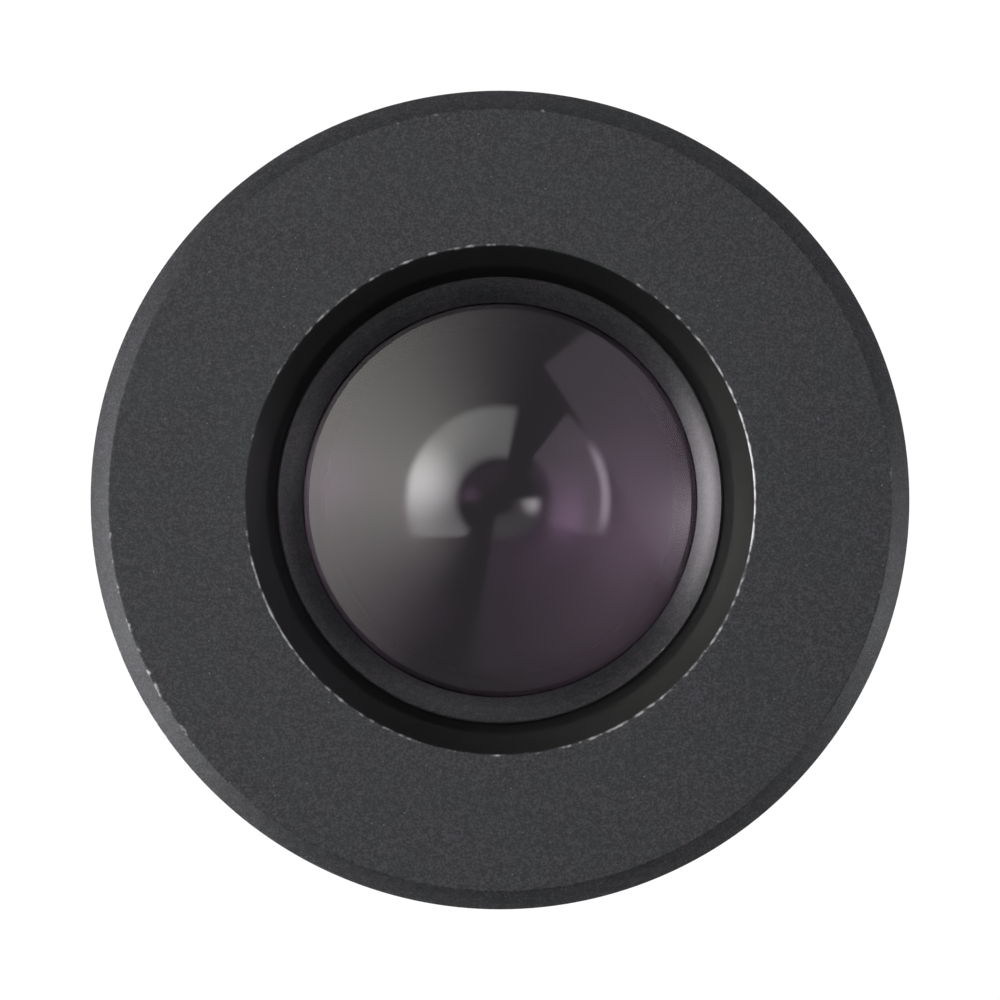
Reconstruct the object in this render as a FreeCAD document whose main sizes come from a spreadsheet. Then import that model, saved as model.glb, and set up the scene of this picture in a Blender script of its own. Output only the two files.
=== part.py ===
"""Wide-field 10x microscope eyepiece with the standard 23.2 mm mount.

Millimetres, +Z towards the eye. The origin is on the optical axis, in the plane of the seating
shoulder: the head stands above it and the mounting barrel hangs below it. Every sub-part is turned
about the optical axis, so each is an outline of (radius, height) corners revolved once.
"""
import FreeCAD, Part
import math
import os
import Sketcher
from types import SimpleNamespace

# Driving dimensions. Each one is a cell of the sheet, under the same name.
SIZES = {
    # Head, outside
    "head_dia": 34.0,
    "rim_length": 12.0,
    "face_chamfer": 0.78,
    "foot_chamfer": 0.4,
    # Cap and eye well
    "cap_length": 8.5,
    "apex_depth": 2.56,
    "well_slope": 1.225,
    "lip_thickness": 0.45,
    "seam_bevel": 0.2,
    "seal_thickness": 0.3,
    "seal_offset": 0.35,
    "seal_width": 2.0,
    # Lens cell, outwards from the lenses
    "seat_width": 0.75,
    "inner_bevel_width": 0.55,
    "inner_bevel_drop": 0.46,
    "outer_bevel_width": 0.45,
    "outer_bevel_drop": 0.33,
    "aperture_land": 0.12,
    "nose_height": 0.75,
    "cell_height": 1.66,
    "tail_wall": 0.72,
    "tail_step": 0.65,
    "tail_clearance": 1.36,
    "flange_width": 1.35,
    "flange_thickness": 2.0,
    "flange_drop": 4.2,
    "shim_thickness": 0.2,
    "cell_chamfer": 0.3,
    # Head body, outwards from the cell
    "spigot_wall": 1.47,
    "neck_wall": 1.16,
    "barrel_thread_length": 4.5,
    # Lenses, from the eye down
    "eye_lens_dia": 18.0,
    "eye_front_radius": 28.0,
    "eye_cement_radius": 26.0,
    "eye_back_radius": 45.0,
    "eye_crown_thickness": 4.5,
    "eye_flint_thickness": 1.2,
    "eye_gap": 0.6,
    "field_lens_dia": 21.0,
    "middle_front_radius": 40.0,
    "middle_back_radius": 120.0,
    "middle_thickness": 3.3,
    "middle_gap": 0.6,
    "field_front_radius": 50.0,
    "field_cement_radius": 30.0,
    "field_back_radius": 50.0,
    "field_crown_thickness": 4.4,
    "field_flint_thickness": 1.2,
    # Rings in the cell
    "spacer_width": 0.6,
    "washer_thickness": 0.4,
    "lens_ring_step": 0.25,
    "lens_ring_height": 2.29,
    # Barrel, inwards from the mount
    "mount_dia": 23.2,
    "barrel_length": 30.0,
    "barrel_wall": 0.98,
    "stop_ledge": 0.4,
    "lead_in": 0.4,
    "mouth_chamfer": 0.2,
    # Field stop
    "stop_drop": 10.0,
    "stop_thickness": 1.2,
    "stop_width": 1.57,
    "stop_rim": 0.62,
    "stop_ring_width": 0.87,
    "stop_ring_height": 2.0,
    # Spanner slots of both threaded rings
    "slot_width": 1.0,
    "slot_depth": 0.8,
    "slot_count": 2,
    # Set screws
    "screw_dia": 2.0,
    "screw_length": 2.0,
    "screw_height": 2.3,
    "screw_point": 0.2,
    "socket_width": 0.9,
    "socket_depth": 0.9,
    "screw_count": 3,
    # Clearances: on the radius, then along the axis
    "mount_fit": 0.02,
    "turning_fit": 0.03,
    "screw_fit": 0.02,
    "nose_fit": 0.075,
    "tail_fit": 0.09,
    "glass_play": 0.02,
    "end_play": 0.3,
}


def as_size(number):
    """Return a plain number as a Size, and a Size as it is."""
    if isinstance(number, Size):
        return number
    return Size(float(number), repr(number))


class Size:
    """A length: its value in millimetres and the sheet expression that gives it."""

    def __init__(self, value, text):
        self.value = value
        self.text = text

    def __add__(self, other):
        other = as_size(other)
        return Size(self.value + other.value, f"({self.text} + {other.text})")

    def __sub__(self, other):
        other = as_size(other)
        return Size(self.value - other.value, f"({self.text} - {other.text})")

    def __mul__(self, other):
        other = as_size(other)
        return Size(self.value * other.value, f"({self.text} * {other.text})")

    def __truediv__(self, other):
        other = as_size(other)
        return Size(self.value / other.value, f"({self.text} / {other.text})")

    def __neg__(self):
        return Size(-self.value, f"(0 - {self.text})")


def sag(radius, reach):
    """Depth of a spherical face of this radius, from its vertex to the circle at reach."""
    value = radius.value - math.sqrt(radius.value ** 2 - reach.value ** 2)
    return Size(value, f"({radius.text} - sqrt({radius.text} ^ 2 - {reach.text} ^ 2))")


def fill_sheet(sheet):
    """Write each driving dimension to a cell of its own and name the cell."""
    for row, (name, value) in enumerate(SIZES.items(), start=1):
        sheet.set(f"A{row}", name)
        sheet.set(f"B{row}", str(value))
        sheet.setAlias(f"B{row}", name)


def origin_feature(body, role):
    """Return the plane or axis of the body's own origin that has this role."""
    return next(item for item in body.Origin.OriginFeatures if item.Role == role)


def tie(sketch, kind, edge, end, size):
    """Set one coordinate of an edge's end, and bind it to the sheet."""
    if isinstance(size, int) and size == 0:
        axis = -2 if kind == "DistanceX" else -1
        sketch.addConstraint(Sketcher.Constraint("PointOnObject", edge, end, axis))
        return
    index = sketch.addConstraint(Sketcher.Constraint(kind, edge, end, size.value))
    sketch.setExpression(f"Constraints[{index}]", size.text)


def draw_outline(sketch, corners):
    """Draw a closed outline and tie every corner to the sheet.

    A corner is (across, up), or (across, up, radius, centre) where the edge to the next corner is
    an arc of that radius about the point at height centre on the axis.
    """
    places = [(as_size(corner[0]).value, as_size(corner[1]).value) for corner in corners]
    joints = []
    for index, corner in enumerate(corners):
        start = places[index]
        end = places[(index + 1) % len(corners)]
        if len(corner) == 2:
            edge = Part.LineSegment(FreeCAD.Vector(*start, 0), FreeCAD.Vector(*end, 0))
            first, last = 1, 2
        else:
            radius, centre = corner[2], corner[3].value
            angles = [math.atan2(point[1] - centre, point[0]) for point in (start, end)]
            circle = Part.Circle(FreeCAD.Vector(0, centre, 0), FreeCAD.Vector(0, 0, 1), radius.value)
            edge = Part.ArcOfCircle(circle, min(angles), max(angles))
            first, last = (1, 2) if angles[0] < angles[1] else (2, 1)
        number = sketch.addGeometry(edge, False)
        joints.append((number, first, last))
    for index, (number, first, _) in enumerate(joints):
        before, _, end = joints[index - 1]
        sketch.addConstraint(Sketcher.Constraint("Coincident", before, end, number, first))
    for corner, (number, first, _) in zip(corners, joints):
        tie(sketch, "DistanceX", number, first, corner[0])
        tie(sketch, "DistanceY", number, first, corner[1])
        if len(corner) > 2:
            index = sketch.addConstraint(Sketcher.Constraint("Radius", number, corner[2].value))
            sketch.setExpression(f"Constraints[{index}]", corner[2].text)


def add_sketch(body, name, role):
    """Add a sketch to the body, lying in one of the body's own origin planes."""
    sketch = body.newObject("Sketcher::SketchObject", name)
    sketch.AttachmentSupport = [(origin_feature(body, role), "")]
    sketch.MapMode = "FlatFace"
    return sketch


def turned(name, corners, seat):
    """Revolve an outline about the optical axis, and set the piece on its seat height."""
    body = doc.addObject("PartDesign::Body", name)
    body.Label = name
    outline = add_sketch(body, f"{name}_outline", "XZ_Plane")
    draw_outline(outline, corners)
    turn = body.newObject("PartDesign::Revolution", f"{name}_turn")
    turn.Profile = outline
    turn.ReferenceAxis = (outline, ["V_Axis"])
    turn.Angle = 360.0
    body.Tip = turn
    if isinstance(seat, Size):
        body.setExpression(".Placement.Base.z", seat.text)
    return body


def round_pattern(body, feature, count):
    """Repeat a cut around the optical axis."""
    pattern = body.newObject("PartDesign::PolarPattern", f"{feature.Name}_pattern")
    pattern.Originals = [feature]
    pattern.Axis = (origin_feature(body, "Z_Axis"), [""])
    pattern.Angle = 360.0
    pattern.setExpression("Occurrences", count.text)
    body.Tip = pattern


def spanner_slots(body, ring_bore, ring_side):
    """Cut the spanner slots across the lower face of a threaded ring."""
    half = size.slot_width / 2
    start = ring_bore - half
    end = ring_side + half
    sketch = add_sketch(body, f"{body.Name}_slot_outline", "XY_Plane")
    draw_outline(sketch, [(start, -half), (end, -half), (end, half), (start, half)])
    slot = body.newObject("PartDesign::Pocket", f"{body.Name}_slot")
    slot.Profile = sketch
    slot.Reversed = True
    slot.setExpression("Length", size.slot_depth.text)
    round_pattern(body, slot, size.slot_count)


doc = FreeCAD.newDocument("eyepiece")
sheet = doc.addObject("Spreadsheet::Sheet", "Sizes")
fill_sheet(sheet)
doc.recompute()
size = SimpleNamespace(**{name: Size(value, f"Sizes.{name}") for name, value in SIZES.items()})

# Radii that mating pieces share, from the lenses outwards and from the mount inwards
eye_lens_edge = size.eye_lens_dia / 2
eye_lens_bore = eye_lens_edge + size.turning_fit
eye_aperture = eye_lens_edge - size.seat_width
bevel_break = eye_aperture + size.inner_bevel_width
nose = bevel_break + size.outer_bevel_width
nose_hole = nose + size.nose_fit
field_lens_edge = size.field_lens_dia / 2
field_lens_bore = field_lens_edge + size.turning_fit
field_aperture = field_lens_edge - size.spacer_width
lens_ring = field_lens_edge + size.lens_ring_step
lens_ring_bore = lens_ring + size.turning_fit
cell_tail = lens_ring_bore + size.tail_wall
cell_side = cell_tail + size.tail_step
head_bore = cell_side + size.turning_fit
flange = cell_side + size.flange_width
flange_bore = flange + size.turning_fit
cap_spigot = flange_bore + size.spigot_wall
cap_bore = cap_spigot + size.turning_fit
neck_socket = cell_tail + size.tail_fit
barrel_neck = neck_socket + size.neck_wall
neck_bore = barrel_neck + size.turning_fit
screw_tip = barrel_neck + size.screw_fit
foot = screw_tip + size.screw_length
rim = size.head_dia / 2
barrel_side = size.mount_dia / 2 - size.mount_fit
stop_bore = barrel_side - size.barrel_wall
barrel_bore = stop_bore - size.stop_ledge
stop_side = stop_bore - size.turning_fit

# Heights above the shoulder, up the lens stack from the cell's lower end
lens_ring_bottom = size.cell_height + size.end_play
washer_bottom = lens_ring_bottom + size.lens_ring_height
washer_top = washer_bottom + size.washer_thickness
field_back = washer_top + sag(size.field_back_radius, field_aperture)
field_cement = field_back + size.field_flint_thickness
field_front = field_cement + size.field_crown_thickness
middle_back = field_front + size.middle_gap
middle_front = middle_back + size.middle_thickness
eye_back = middle_front + size.eye_gap
eye_cement = eye_back + size.eye_flint_thickness
apex = eye_cement + size.eye_crown_thickness
seat_edge = apex - sag(size.eye_front_radius, eye_aperture) + size.glass_play
nose_top = seat_edge + size.aperture_land + size.inner_bevel_drop + size.outer_bevel_drop
cell_shoulder = nose_top - size.nose_height
flange_top = cell_shoulder - size.flange_drop
flange_bottom = flange_top - size.flange_thickness
flange_ledge = flange_bottom - size.shim_thickness
lip_underside = cell_shoulder + size.seal_thickness
lip_top = lip_underside + size.lip_thickness
face = apex + size.apex_depth
cap_seat = face - size.cap_length

# Heights of the field stop above the barrel's lower end
stop_top = size.barrel_length - size.stop_drop + size.stop_thickness / 2
stop_bottom = stop_top - size.stop_thickness
stop_ring_bottom = stop_bottom - size.stop_ring_height


def make_eye_cap():
    """Cap with the flat face, its chamfer, the conical eye well and the lip over the cell."""
    top = size.cap_length
    turned("eye_cap", [
        (cap_bore, 0),
        (rim - size.seam_bevel, 0),
        (rim, size.seam_bevel),
        (rim, top - size.face_chamfer),
        (rim - size.face_chamfer, top),
        (nose_hole + size.well_slope, top),
        (nose_hole, lip_top - cap_seat),
        (nose_hole, lip_underside - cap_seat),
        (cap_bore, lip_underside - cap_seat),
    ], cap_seat)


def make_flat_ring(name, inside, outside, height, seat):
    """Turn a ring of square section, and return it."""
    return turned(name, [(inside, 0), (outside, 0), (outside, height), (inside, height)], seat)


def make_cap_seal():
    """Flat rubber ring that the cap presses on to the shoulder of the cell."""
    inside = nose + size.seal_offset
    make_flat_ring("cap_seal", inside, inside + size.seal_width, size.seal_thickness, cell_shoulder)


def make_head_body():
    """Tapered body: barrel thread below, ledge for the cell's flange, spigot for the cap above."""
    body = turned("head_body", [
        (neck_bore, 0),
        (foot - size.foot_chamfer, 0),
        (foot, size.foot_chamfer),
        (rim, face - size.rim_length),
        (rim, cap_seat - size.seam_bevel),
        (rim - size.seam_bevel, cap_seat),
        (cap_spigot, cap_seat),
        (cap_spigot, lip_underside - size.end_play),
        (flange_bore, lip_underside - size.end_play),
        (flange_bore, flange_ledge),
        (head_bore, flange_ledge),
        (head_bore, size.barrel_thread_length),
        (neck_bore, size.barrel_thread_length),
    ], 0)
    sketch = add_sketch(body, "screw_hole_outline", "YZ_Plane")
    middle = FreeCAD.Vector(0, size.screw_height.value, 0)
    hole_radius = size.screw_dia / 2
    circle = Part.Circle(middle, FreeCAD.Vector(0, 0, 1), hole_radius.value)
    number = sketch.addGeometry(circle, False)
    tie(sketch, "DistanceX", number, 3, 0)
    tie(sketch, "DistanceY", number, 3, size.screw_height)
    index = sketch.addConstraint(Sketcher.Constraint("Radius", number, hole_radius.value))
    sketch.setExpression(f"Constraints[{index}]", hole_radius.text)
    hole = body.newObject("PartDesign::Pocket", "screw_hole")
    hole.Profile = sketch
    hole.Reversed = True
    hole.setExpression("Length", size.head_dia.text)
    round_pattern(body, hole, size.screw_count)


def make_parfocal_shim():
    """Thin ring between the head's ledge and the cell's flange."""
    make_flat_ring("parfocal_shim", head_bore, flange, size.shim_thickness, flange_ledge)


def make_lens_cell():
    """Cell that holds every lens: bevelled nose, flange, and a stepped bore open from below."""
    tail_top = size.barrel_thread_length + size.tail_clearance
    bore_step = middle_front - sag(size.middle_front_radius, eye_lens_bore) + size.end_play
    glass_edge = apex - sag(size.eye_front_radius, eye_lens_edge) + size.glass_play
    ring_recess = washer_bottom + size.washer_thickness / 2
    corners = [
        (lens_ring_bore, size.cell_height),
        (cell_tail - size.cell_chamfer, size.cell_height),
        (cell_tail, size.cell_height + size.cell_chamfer),
        (cell_tail, tail_top),
        (cell_side, tail_top),
        (cell_side, flange_bottom),
        (flange, flange_bottom),
        (flange, flange_top),
        (cell_side, flange_top),
        (cell_side, cell_shoulder - size.cell_chamfer),
        (cell_side - size.cell_chamfer, cell_shoulder),
        (nose, cell_shoulder),
        (nose, nose_top),
        (bevel_break, nose_top - size.outer_bevel_drop),
        (eye_aperture, seat_edge + size.aperture_land),
        (eye_aperture, seat_edge),
        (eye_lens_bore, glass_edge),
        (eye_lens_bore, bore_step),
        (field_lens_bore, bore_step),
        (field_lens_bore, ring_recess),
        (lens_ring_bore, ring_recess),
    ]
    turned("lens_cell", [(across, up - size.cell_height) for across, up in corners], size.cell_height)


def make_lens(name, edge, front, back, seat, thickness):
    """Make one lens, with the vertex of its lower face on the seat height.

    front and back are the radii of its faces, positive where the face bulges upwards. A face that
    bulges upwards at the back ends in a flat rim outside the field aperture.
    """
    if front.value > 0:
        corners = [(0, thickness, front, thickness - front), (edge, thickness - sag(front, edge))]
    else:
        hollow = -front
        corners = [(0, thickness, hollow, thickness + hollow), (edge, thickness + sag(hollow, edge))]
    if back.value < 0:
        bulge = -back
        corners.append((edge, sag(bulge, edge), bulge, bulge))
    else:
        flat = -sag(back, field_aperture)
        corners.append((edge, flat))
        corners.append((field_aperture, flat, back, -back))
    corners.append((0, 0))
    turned(name, corners, seat)


def make_lenses():
    """Cemented eye doublet, middle lens and cemented field doublet."""
    make_lens("eye_lens_crown", eye_lens_edge, size.eye_front_radius, -size.eye_cement_radius,
              eye_cement, size.eye_crown_thickness)
    make_lens("eye_lens_flint", eye_lens_edge, -size.eye_cement_radius, -size.eye_back_radius,
              eye_back, size.eye_flint_thickness)
    make_lens("middle_lens", field_lens_edge, size.middle_front_radius, -size.middle_back_radius,
              middle_back, size.middle_thickness)
    make_lens("field_lens_crown", field_lens_edge, size.field_front_radius,
              -size.field_cement_radius, field_cement, size.field_crown_thickness)
    make_lens("field_lens_flint", field_lens_edge, -size.field_cement_radius,
              size.field_back_radius, field_back, size.field_flint_thickness)


def make_spacer(name, outside, above, above_radius, below, below_radius):
    """Ring whose inner edges touch the lens face above it and the lens face below it.

    above and below are the heights of the two faces' vertices.
    """
    inside = outside - size.spacer_width
    top = above + sag(above_radius, inside)
    bottom = below - sag(below_radius, inside)
    make_flat_ring(name, inside, outside, top - bottom, bottom)


def make_lens_rings():
    """The two spacers, the slip washer and the threaded ring that holds the stack."""
    make_spacer("eye_lens_spacer", eye_lens_edge, eye_back, size.eye_back_radius,
                middle_front, size.middle_front_radius)
    make_spacer("middle_lens_spacer", field_lens_edge, middle_back, size.middle_back_radius,
                field_front, size.field_front_radius)
    make_flat_ring("field_lens_washer", field_aperture, field_lens_edge,
                   size.washer_thickness, washer_bottom)
    ring = make_flat_ring("lens_lock_ring", field_aperture, lens_ring,
                          size.lens_ring_height, lens_ring_bottom)
    spanner_slots(ring, field_aperture, lens_ring)


def make_mounting_barrel():
    """Tube that slides into the eyetube; its threaded neck screws into the head."""
    neck_top = size.barrel_length + size.barrel_thread_length
    socket_floor = size.barrel_length + size.cell_height - size.end_play
    turned("mounting_barrel", [
        (stop_bore + size.mouth_chamfer, 0),
        (barrel_side - size.lead_in, 0),
        (barrel_side, size.lead_in),
        (barrel_side, size.barrel_length),
        (barrel_neck, size.barrel_length),
        (barrel_neck, neck_top - size.mouth_chamfer),
        (barrel_neck - size.mouth_chamfer, neck_top),
        (neck_socket, neck_top),
        (neck_socket, socket_floor),
        (barrel_bore, socket_floor),
        (barrel_bore, stop_top),
        (stop_bore, stop_top),
        (stop_bore, size.mouth_chamfer),
    ], -size.barrel_length)


def make_field_stop():
    """Ring with a knife edge in the focal plane, 18 mm across, and the ring that holds it."""
    land = stop_side - size.stop_rim
    turned("field_stop", [
        (land, 0),
        (stop_side, 0),
        (stop_side, size.stop_thickness),
        (land, size.stop_thickness),
        (stop_side - size.stop_width, size.stop_thickness / 2),
    ], stop_bottom - size.barrel_length)
    ring_bore = stop_side - size.stop_ring_width
    ring = make_flat_ring("stop_lock_ring", ring_bore, stop_side, size.stop_ring_height,
                          stop_ring_bottom - size.barrel_length)
    spanner_slots(ring, ring_bore, stop_side)


def make_set_screws():
    """Grub screws with hexagon sockets, around the head at even angles, points inwards."""
    radius = size.screw_dia / 2 - size.screw_fit
    side = size.socket_width / math.sqrt(3)
    across = size.socket_width / 2
    socket = [(side, 0), (side / 2, across), (-side / 2, across),
              (-side, 0), (-side / 2, -across), (side / 2, -across)]
    screws = []
    for number in range(SIZES["screw_count"]):
        screw = turned(f"set_screw_{number + 1}", [
            (0, 0),
            (radius - size.screw_point, 0),
            (radius, size.screw_point),
            (radius, size.screw_length),
            (0, size.screw_length),
        ], 0)
        sketch = add_sketch(screw, f"socket_outline_{number + 1}", "XY_Plane")
        sketch.setExpression(".AttachmentOffset.Base.z", size.screw_length.text)
        draw_outline(sketch, socket)
        pocket = screw.newObject("PartDesign::Pocket", f"socket_{number + 1}")
        pocket.Profile = sketch
        pocket.setExpression("Length", size.socket_depth.text)
        screw.Tip = pocket
        angle = 360.0 / SIZES["screw_count"] * number
        about_axis = FreeCAD.Rotation(FreeCAD.Vector(0, 0, 1), angle)
        outwards = FreeCAD.Rotation(FreeCAD.Vector(0, 1, 0), 90)
        screw.Placement = FreeCAD.Placement(FreeCAD.Vector(), about_axis * outwards)
        screw.setExpression(".Placement.Base.x", f"{screw_tip.text} * cos({angle})")
        screw.setExpression(".Placement.Base.y", f"{screw_tip.text} * sin({angle})")
        screw.setExpression(".Placement.Base.z", size.screw_height.text)
        screws.append(screw)
    group = doc.addObject("Part::Compound", "set_screws")
    group.Label = "set_screws"
    group.Links = screws


NODES = [
    "eye_cap", "cap_seal", "head_body", "parfocal_shim", "lens_cell",
    "eye_lens_crown", "eye_lens_flint", "eye_lens_spacer", "middle_lens", "middle_lens_spacer",
    "field_lens_crown", "field_lens_flint", "field_lens_washer", "lens_lock_ring",
    "mounting_barrel", "field_stop", "stop_lock_ring", "set_screws",
]


def check_model():
    """Stop if anything in the document failed, or a sketch is left loose."""
    for item in doc.Objects:
        if "Invalid" in item.State or "Error" in item.State:
            raise ValueError(f"{item.Name} failed: {item.State}")
        if item.isDerivedFrom("Sketcher::SketchObject") and not item.FullyConstrained:
            raise ValueError(f"{item.Name} isn't fully tied to the sheet")


def write_nodes():
    """Write one STEP file for each named piece."""
    os.makedirs("parts", exist_ok=True)
    for name in NODES:
        shape = doc.getObject(name).Shape
        if shape.isNull() or not shape.isValid() or not shape.Solids:
            raise ValueError(f"{name} has no valid solid")
        shape.exportStep(f"parts/{name}.step")
        print(f"{name}: {len(shape.Solids)} solid(s), {shape.Volume:.1f} mm3")


make_eye_cap()
make_cap_seal()
make_head_body()
make_parfocal_shim()
make_lens_cell()
make_lenses()
make_lens_rings()
make_mounting_barrel()
make_field_stop()
make_set_screws()
doc.recompute()
check_model()
write_nodes()
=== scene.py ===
"""Looks of a wide-field microscope eyepiece, seen down its optical axis.

Metres, +Z towards the eye, with the origin on the optical axis in the plane of the seating
shoulder. Every turned piece is half a section drawn as a wire and spun about the axis.
"""
import logging
import math
from collections.abc import Callable
from dataclasses import dataclass
from enum import Enum
from functools import cached_property

import bmesh
import bpy
from mathutils import Matrix, Vector


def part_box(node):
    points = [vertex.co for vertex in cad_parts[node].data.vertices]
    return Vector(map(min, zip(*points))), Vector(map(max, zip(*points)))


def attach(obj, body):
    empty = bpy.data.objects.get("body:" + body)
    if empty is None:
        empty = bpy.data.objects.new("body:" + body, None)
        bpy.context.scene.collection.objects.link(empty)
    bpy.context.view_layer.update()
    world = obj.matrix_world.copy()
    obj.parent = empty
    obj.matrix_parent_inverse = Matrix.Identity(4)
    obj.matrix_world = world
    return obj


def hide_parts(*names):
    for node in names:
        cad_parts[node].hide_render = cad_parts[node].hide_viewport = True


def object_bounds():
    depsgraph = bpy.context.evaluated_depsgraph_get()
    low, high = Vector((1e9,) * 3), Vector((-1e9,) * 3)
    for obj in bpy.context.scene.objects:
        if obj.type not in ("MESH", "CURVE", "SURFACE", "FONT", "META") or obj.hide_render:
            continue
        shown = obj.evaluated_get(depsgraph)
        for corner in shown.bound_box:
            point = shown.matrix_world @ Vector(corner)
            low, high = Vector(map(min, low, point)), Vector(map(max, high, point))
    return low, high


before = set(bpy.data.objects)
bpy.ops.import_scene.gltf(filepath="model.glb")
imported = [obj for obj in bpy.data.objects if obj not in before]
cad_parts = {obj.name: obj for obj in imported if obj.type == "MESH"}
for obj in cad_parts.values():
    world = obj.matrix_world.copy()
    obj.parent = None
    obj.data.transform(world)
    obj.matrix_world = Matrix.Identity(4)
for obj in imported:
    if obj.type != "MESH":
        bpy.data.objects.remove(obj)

log = logging.getLogger("eyepiece")

CAD_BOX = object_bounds()
BODY = "root"
MM = 0.001
NICK = 0.40 * MM
STRETCH = 9.0 * MM
# What makes the black inside dull and even
DULL = {"marks": 0.6 * MM, "marks_depth": 0.0, "shine": 0.0}
ORIGIN = (0.0, 0.0, 0.0)
AXIS = (0.0, 0.0, 1.0)
TURN_STEPS = 240
LENS_STEPS = 192
EDGE_SLOPE = 0.5
FACE_STEPS = 30
ROUND_STEPS = 3
SHARP_ANGLE = math.radians(34.0)
MERGE_DISTANCE = 1e-7
SAME_HEIGHT = 1e-9

Colour = tuple[float, float, float]
Piece = bpy.types.Object
Material = bpy.types.Material
Mesh = bmesh.types.BMesh
Corner = bmesh.types.BMVert
Edge = bmesh.types.BMEdge


@dataclass(frozen=True)
class Extent:
    """Reach of a solid: its radius about the optical axis, and the heights of its two ends."""

    radius: float
    bottom: float
    top: float


def extent(node: str) -> Extent:
    """Read how far a solid of the frame reaches.

    Args:
        node: Name of the solid.

    Returns:
        Its radius and the heights of its ends.
    """
    low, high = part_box(node)
    return Extent(high.x, low.z, high.z)


class Term:
    """A socket of a node tree, with arithmetic that adds Math nodes."""

    def __init__(self, tree: "NodeTree", socket: bpy.types.NodeSocket) -> None:
        """Keep the socket and the tree that it belongs to."""
        self.tree = tree
        self.socket = socket

    def math(self, operation: str, *others: "Term | float", first: "Term | float | None" = None) -> "Term":
        """Add one Math node.

        Args:
            operation: Name of the Math node's operation.
            others: What follows this term in the operation.
            first: What takes the first place, with this term behind it.

        Returns:
            The node's result.
        """
        terms = (self, *others) if first is None else (first, self)
        return self.tree.node("ShaderNodeMath", {"operation": operation}, dict(enumerate(terms)))

    def __add__(self, other: "Term | float") -> "Term":
        """Add."""
        return self.math("ADD", other)

    __radd__ = __add__

    def __sub__(self, other: "Term | float") -> "Term":
        """Subtract."""
        return self.math("SUBTRACT", other)

    def __rsub__(self, other: float) -> "Term":
        """Subtract, with the number first."""
        return self.math("SUBTRACT", first=other)

    def __mul__(self, other: "Term | float") -> "Term":
        """Multiply."""
        return self.math("MULTIPLY", other)

    __rmul__ = __mul__

    def __truediv__(self, other: "Term | float") -> "Term":
        """Divide."""
        return self.math("DIVIDE", other)

    def __rtruediv__(self, other: float) -> "Term":
        """Divide, with the number first."""
        return self.math("DIVIDE", first=other)

    def root(self) -> "Term":
        """Take the square root."""
        return self.math("SQRT")

    def most(self, other: "Term | float") -> "Term":
        """Take the larger of two."""
        return self.math("MAXIMUM", other)

    def step(self, low: float, high: float) -> "Term":
        """Rise smoothly from 0 at low to 1 at high.

        Args:
            low: Value that gives 0.
            high: Value that gives 1.

        Returns:
            The smooth step.
        """
        settings = {"interpolation_type": "SMOOTHSTEP"}
        sockets = {"Value": self, "From Min": low, "From Max": high, "To Min": 0.0, "To Max": 1.0}
        return self.tree.node("ShaderNodeMapRange", settings, sockets)


class NodeTree:
    """The nodes of a material, a light or the surroundings, under construction."""

    def __init__(self, tree: bpy.types.NodeTree) -> None:
        """Start with no nodes."""
        self.tree = tree
        self.tree.nodes.clear()

    def node(self, kind: str, settings: dict | None = None, sockets: dict | None = None,
             output: int | str = 0) -> Term:
        """Add a node of any kind.

        Args:
            kind: The node's type.
            settings: Its properties, set before its sockets.
            sockets: Values or terms of its sockets, by name or number.
            output: Name or number of the output to hand back.

        Returns:
            The chosen output.
        """
        made = self.tree.nodes.new(kind)
        for name, value in (settings or {}).items():
            setattr(made, name, value)
        for name, value in (sockets or {}).items():
            if isinstance(value, Term):
                self.tree.links.new(value.socket, made.inputs[name])
            else:
                made.inputs[name].default_value = value
        return Term(self, made.outputs[output])

    def split(self, vector: Term) -> tuple[Term, Term, Term]:
        """Take a vector apart into its three numbers."""
        outputs = self.node("ShaderNodeSeparateXYZ", sockets={0: vector}).socket.node.outputs
        return Term(self, outputs[0]), Term(self, outputs[1]), Term(self, outputs[2])

    def close(self, kind: str, surface: Term) -> None:
        """Link a surface to the tree's end, which is a node of this kind."""
        end = self.tree.nodes.new(kind)
        self.tree.links.new(surface.socket, end.inputs["Surface"])


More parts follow.
